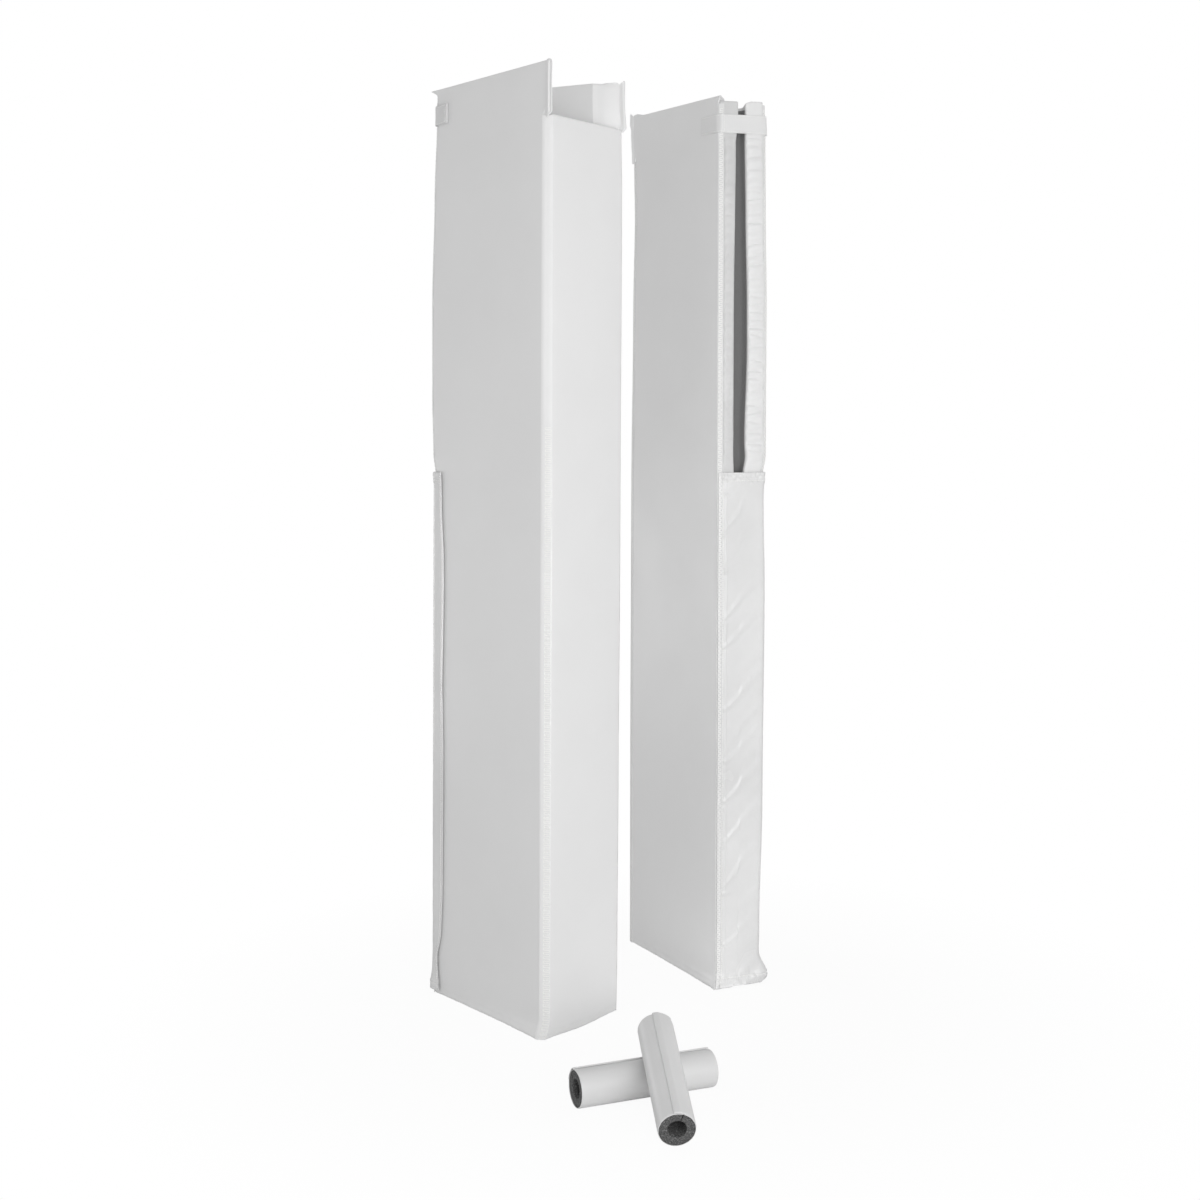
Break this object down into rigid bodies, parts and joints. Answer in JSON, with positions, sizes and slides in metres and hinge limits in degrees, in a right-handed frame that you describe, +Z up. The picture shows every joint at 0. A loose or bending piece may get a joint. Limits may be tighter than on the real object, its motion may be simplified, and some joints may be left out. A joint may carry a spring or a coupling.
{
  "type": "volleyball post pad",
  "caption": "Tall foam post pads in white vinyl that open along the back and close with a strap and a hook-and-loop flap, with short tubular net cable pads.",
  "frame": {"origin": "middle of the set's footprint, on the floor", "axes": "+Z up; the left pad's front faces -Y, and X runs along its width"},
  "size_m": [0.9872, 0.86, 1.829],
  "materials": {
    "white_vinyl": "semi-gloss grained vinyl",
    "grey_foam": "closed-cell foam",
    "white_hook_and_loop": "hook-and-loop tape",
    "grey_loop_strip": "loop tape"
  },
  "bodies": {
    "left_shell": {"left_front_foam": "grey_foam", "left_front_cover": "white_vinyl", "left_fixed_side_foam": "grey_foam", "left_fixed_side_cover": "white_vinyl", "left_fixed_return_foam": "grey_foam", "left_fixed_return_cover": "white_vinyl", "left_hinge_binding": "white_vinyl", "left_front_corner_binding": "white_vinyl", "left_fixed_back_binding": "white_vinyl", "left_strap_anchor": "white_vinyl", "left_flap_seam": "white_vinyl"},
    "left_swing": {"left_swing_side_foam": "grey_foam", "left_swing_side_cover": "white_vinyl", "left_swing_return_foam": "grey_foam", "left_swing_return_cover": "white_vinyl", "left_swing_back_binding": "white_vinyl", "left_slot_strip": "grey_loop_strip", "left_strap_loop_patch": "white_hook_and_loop", "left_flap_loop_tape": "white_hook_and_loop"},
    "left_strap": {"left_strap": "white_vinyl", "left_strap_hook_patch": "white_hook_and_loop"},
    "left_flap": {"left_closing_flap": "white_vinyl", "left_flap_hook_tape": "white_hook_and_loop"},
    "right_shell": {"right_front_foam": "grey_foam", "right_front_cover": "white_vinyl", "right_fixed_side_foam": "grey_foam", "right_fixed_side_cover": "white_vinyl", "right_fixed_return_foam": "grey_foam", "right_fixed_return_cover": "white_vinyl", "right_hinge_binding": "white_vinyl", "right_front_corner_binding": "white_vinyl", "right_fixed_back_binding": "white_vinyl", "right_strap_anchor": "white_vinyl", "right_flap_seam": "white_vinyl"},
    "right_swing": {"right_swing_side_foam": "grey_foam", "right_swing_side_cover": "white_vinyl", "right_swing_return_foam": "grey_foam", "right_swing_return_cover": "white_vinyl", "right_swing_back_binding": "white_vinyl", "right_slot_strip": "grey_loop_strip", "right_strap_loop_patch": "white_hook_and_loop", "right_flap_loop_tape": "white_hook_and_loop"},
    "right_strap": {"right_strap": "white_vinyl", "right_strap_hook_patch": "white_hook_and_loop"},
    "right_flap": {"right_closing_flap": "white_vinyl", "right_flap_hook_tape": "white_hook_and_loop"},
    "lower_cable_pad": {"lower_cable_pad_foam": "grey_foam", "lower_cable_pad_sleeve": "white_vinyl", "lower_cable_pad_loop_tape": "white_hook_and_loop"},
    "lower_cable_pad_flap": {"lower_cable_pad_flap": "white_vinyl", "lower_cable_pad_hook_tape": "white_hook_and_loop"},
    "upper_cable_pad": {"upper_cable_pad_foam": "grey_foam", "upper_cable_pad_sleeve": "white_vinyl", "upper_cable_pad_loop_tape": "white_hook_and_loop"},
    "upper_cable_pad_flap": {"upper_cable_pad_flap": "white_vinyl", "upper_cable_pad_hook_tape": "white_hook_and_loop"}
  },
  "joints": [
    {"name": "right_pad_lift", "type": "slide", "parent": "left_shell", "child": "right_shell", "axis": [0, 0, 1], "range_m": [0, 0.6]},
    {"name": "upper_cable_pad_lift", "type": "slide", "parent": "left_shell", "child": "upper_cable_pad", "axis": [0, 0, 1], "range_m": [0, 0.3]},
    {"name": "lower_cable_pad_slide", "type": "slide", "parent": "left_shell", "child": "lower_cable_pad", "axis": [0.8894, -0.4571, 0], "range_m": [0, 0.26]},
    {"name": "left_swing_hinge", "type": "hinge", "parent": "left_shell", "child": "left_swing", "pos_m": [-0.25245, 0.08367, 0], "axis": [0, 0, 1], "range_deg": [0, 12]},
    {"name": "left_strap_peel", "type": "hinge", "parent": "left_shell", "child": "left_strap", "pos_m": [-0.10617, 0.42796, 0], "axis": [0, 0, -1], "range_deg": [0, 165]},
    {"name": "left_flap_peel", "type": "hinge", "parent": "left_shell", "child": "left_flap", "pos_m": [-0.10417, 0.42836, 0], "axis": [0, 0, -1], "range_deg": [0, 165]},
    {"name": "right_swing_hinge", "type": "hinge", "parent": "right_shell", "child": "right_swing", "pos_m": [0.49242, 0.22389, 0], "axis": [0, 0, 1], "range_deg": [0, 12]},
    {"name": "right_strap_peel", "type": "hinge", "parent": "right_shell", "child": "right_strap", "pos_m": [0.19636, -0.00476, 0], "axis": [0, 0, -1], "range_deg": [0, 165]},
    {"name": "right_flap_peel", "type": "hinge", "parent": "right_shell", "child": "right_flap", "pos_m": [0.19442, -0.00413, 0], "axis": [0, 0, -1], "range_deg": [0, 165]},
    {"name": "lower_cable_pad_flap_hinge", "type": "hinge", "parent": "lower_cable_pad", "child": "lower_cable_pad_flap", "pos_m": [-0.4382, -0.14833, 0.03692], "axis": [-0.8894, 0.4571, 0], "range_deg": [0, 100]},
    {"name": "upper_cable_pad_flap_hinge", "type": "hinge", "parent": "upper_cable_pad", "child": "upper_cable_pad_flap", "pos_m": [-0.45547, -0.42919, 0.05061], "axis": [0.6538, 0.6962, 0.2965], "range_deg": [0, 100]}
  ],
  "couplings": [
    {"joint": "left_strap_peel", "follows": "left_swing_hinge", "ratio": 13.75},
    {"joint": "left_flap_peel", "follows": "left_swing_hinge", "ratio": 13.75},
    {"joint": "right_strap_peel", "follows": "right_swing_hinge", "ratio": 13.75},
    {"joint": "right_flap_peel", "follows": "right_swing_hinge", "ratio": 13.75}
  ]
}
